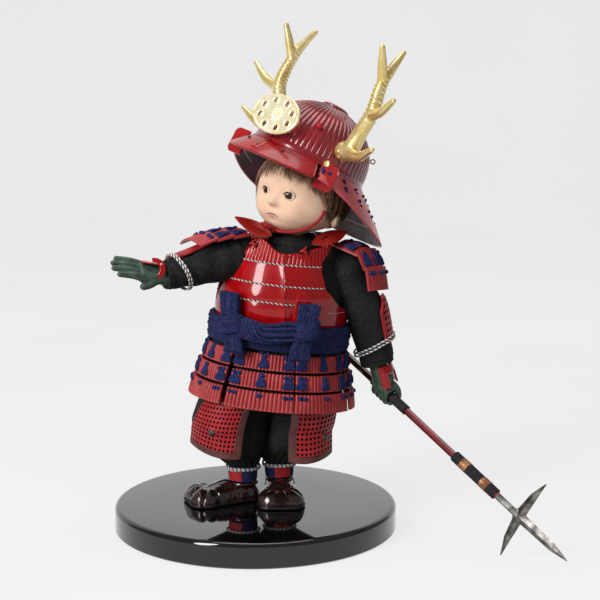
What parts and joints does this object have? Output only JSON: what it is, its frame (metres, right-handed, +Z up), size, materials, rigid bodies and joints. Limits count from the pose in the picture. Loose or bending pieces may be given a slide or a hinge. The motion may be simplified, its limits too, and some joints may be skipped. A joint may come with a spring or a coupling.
{
  "type": "festival doll",
  "caption": "Samurai child festival doll in laced red armour with an antlered helmet, holding a cross-headed spear, on a round black lacquer stand.",
  "frame": {"origin": "centre of the underside of the stand", "axes": "+Z up; the chest looks towards -Y and the left hand is on the +X side"},
  "size_m": [0.286, 0.2405, 0.3537],
  "materials": {
    "lacquer_black": "black mirror lacquer on a turned wooden disc",
    "lacquer_red": "bright red lacquer on moulded plates",
    "helmet_red": "deep red semi-gloss lacquer",
    "cloth_black": "matt black cloth",
    "cloth_navy": "navy ribbed knit",
    "cord_braid": "black and white braid",
    "cord_red": "twisted red cord",
    "leather_brown": "glossy dark brown leather",
    "glove_green": "dark green glove cloth",
    "skin": "painted pale skin",
    "hair_brown": "brown doll hair",
    "gold": "polished gold plating",
    "steel": "worn silver",
    "wood": "plain wood"
  },
  "bodies": {
    "doll": {"torso_core": "cloth_black", "cuirass_front": "lacquer_red", "cuirass_back": "lacquer_red", "right_shoulder_strap": "lacquer_red", "right_leaf_plate": "lacquer_red", "right_arm_wire": "steel", "right_sleeve": "cloth_black", "right_forearm_guard": "lacquer_red", "right_wrist_cord": "cord_braid", "left_shoulder_strap": "lacquer_red", "left_leaf_plate": "lacquer_red", "left_arm_wire": "steel", "left_sleeve": "cloth_black", "left_forearm_guard": "lacquer_red", "left_wrist_cord": "cord_braid", "right_hand": "glove_green", "left_hand": "glove_green", "right_hand_guard": "lacquer_red", "left_hand_guard": "lacquer_red", "waist_sash": "cloth_navy", "sash_bow": "cloth_navy", "display_base": "lacquer_black", "right_foot_peg": "wood", "right_shoe": "leather_brown", "right_ankle_cuff": "cloth_navy", "right_ankle_cord": "cord_braid", "right_trouser_leg": "cloth_black", "right_thigh_guard": "lacquer_red", "left_foot_peg": "wood", "left_shoe": "leather_brown", "left_ankle_cuff": "cloth_navy", "left_ankle_cord": "cord_braid", "left_trouser_leg": "cloth_black", "left_thigh_guard": "lacquer_red"},
    "head": {"head": "skin", "hair": "hair_brown", "chin_cord": "cord_red", "neck_peg": "wood"},
    "helmet": {"helmet_bowl": "helmet_red", "helmet_liner": "cloth_black", "crown_ring": "helmet_red", "helmet_peak": "helmet_red", "neck_guard": "helmet_red", "crest_holder": "helmet_red"},
    "left_antler": {"left_antler": "gold"},
    "right_antler": {"right_antler": "gold"},
    "front_crest": {"front_crest": "gold"},
    "spear": {"spear_shaft": "lacquer_red", "spear_blade": "steel", "grip_wrap": "cloth_black", "head_wrap": "cloth_black"},
    "right_shoulder_guard": {"right_shoulder_guard": "lacquer_red"},
    "left_shoulder_guard": {"left_shoulder_guard": "lacquer_red"},
    "skirt_panel_front_left": {"skirt_panel_front_left": "lacquer_red"},
    "skirt_panel_side_left": {"skirt_panel_side_left": "lacquer_red"},
    "skirt_panel_back_left": {"skirt_panel_back_left": "lacquer_red"},
    "skirt_panel_back": {"skirt_panel_back": "lacquer_red"},
    "skirt_panel_back_right": {"skirt_panel_back_right": "lacquer_red"},
    "skirt_panel_side_right": {"skirt_panel_side_right": "lacquer_red"},
    "skirt_panel_front_right": {"skirt_panel_front_right": "lacquer_red"}
  },
  "joints": [
    {"name": "head_turn", "type": "hinge", "parent": "doll", "child": "head", "pos_m": [0.02701, -0.003, 0.20666], "axis": [0.213, 0, 0.977], "range_deg": [-10, 32]},
    {"name": "helmet_lift", "type": "slide", "parent": "head", "child": "helmet", "axis": [0.4762, 0.0805, 0.8756], "range_m": [0, 0.08]},
    {"name": "left_antler_pull", "type": "slide", "parent": "helmet", "child": "left_antler", "axis": [0.3025, -0.95, -0.0772], "range_m": [0, 0.01]},
    {"name": "right_antler_pull", "type": "slide", "parent": "helmet", "child": "right_antler", "axis": [-0.4675, 0.8666, 0.1746], "range_m": [0, 0.01]},
    {"name": "crest_pull", "type": "slide", "parent": "helmet", "child": "front_crest", "axis": [0.4762, 0.0805, 0.8756], "range_m": [0, 0.014]},
    {"name": "spear_slide", "type": "slide", "parent": "doll", "child": "spear", "axis": [0.5134, -0.7179, -0.4701], "range_m": [-0.04, 0.003]},
    {"name": "skirt_front_left_swing", "type": "hinge", "parent": "doll", "child": "skirt_panel_front_left", "pos_m": [0.04286, -0.03181, 0.12734], "axis": [-0.8672, -0.4887, 0.0957], "range_deg": [0, 20]},
    {"name": "skirt_side_left_swing", "type": "hinge", "parent": "doll", "child": "skirt_panel_side_left", "pos_m": [0.06316, -0.0026, 0.1251], "axis": [-0.0826, -0.9965, 0.0091], "range_deg": [0, 20]},
    {"name": "skirt_back_left_swing", "type": "hinge", "parent": "doll", "child": "skirt_panel_back_left", "pos_m": [0.04785, 0.02857, 0.12679], "axis": [0.7994, -0.5943, -0.0883], "range_deg": [0, 20]},
    {"name": "skirt_back_swing", "type": "hinge", "parent": "doll", "child": "skirt_panel_back", "pos_m": [0.00844, 0.03822, 0.13114], "axis": [0.9859, 0.127, -0.1088], "range_deg": [0, 20]},
    {"name": "skirt_back_right_swing", "type": "hinge", "parent": "doll", "child": "skirt_panel_back_right", "pos_m": [-0.02538, 0.0191, 0.13488], "axis": [0.571, 0.8185, -0.063], "range_deg": [0, 20]},
    {"name": "skirt_side_right_swing", "type": "hinge", "parent": "doll", "child": "skirt_panel_side_right", "pos_m": [-0.02814, -0.01441, 0.13518], "axis": [-0.4418, 0.8958, 0.0488], "range_deg": [0, 20]},
    {"name": "skirt_front_right_swing", "type": "hinge", "parent": "doll", "child": "skirt_panel_front_right", "pos_m": [0.00222, -0.03707, 0.13183], "axis": [-0.9659, 0.2359, 0.1066], "range_deg": [0, 20]},
    {"name": "right_shoulder_guard_swing", "type": "hinge", "parent": "doll", "child": "right_shoulder_guard", "pos_m": [-0.01153, -0.005, 0.21303], "axis": [-0.3885, 0.9196, -0.0577], "range_deg": [0, 20]},
    {"name": "left_shoulder_guard_swing", "type": "hinge", "parent": "doll", "child": "left_shoulder_guard", "pos_m": [0.06277, -0.0105, 0.20442], "axis": [-0.6566, -0.7507, 0.0725], "range_deg": [0, 7]}
  ]
}
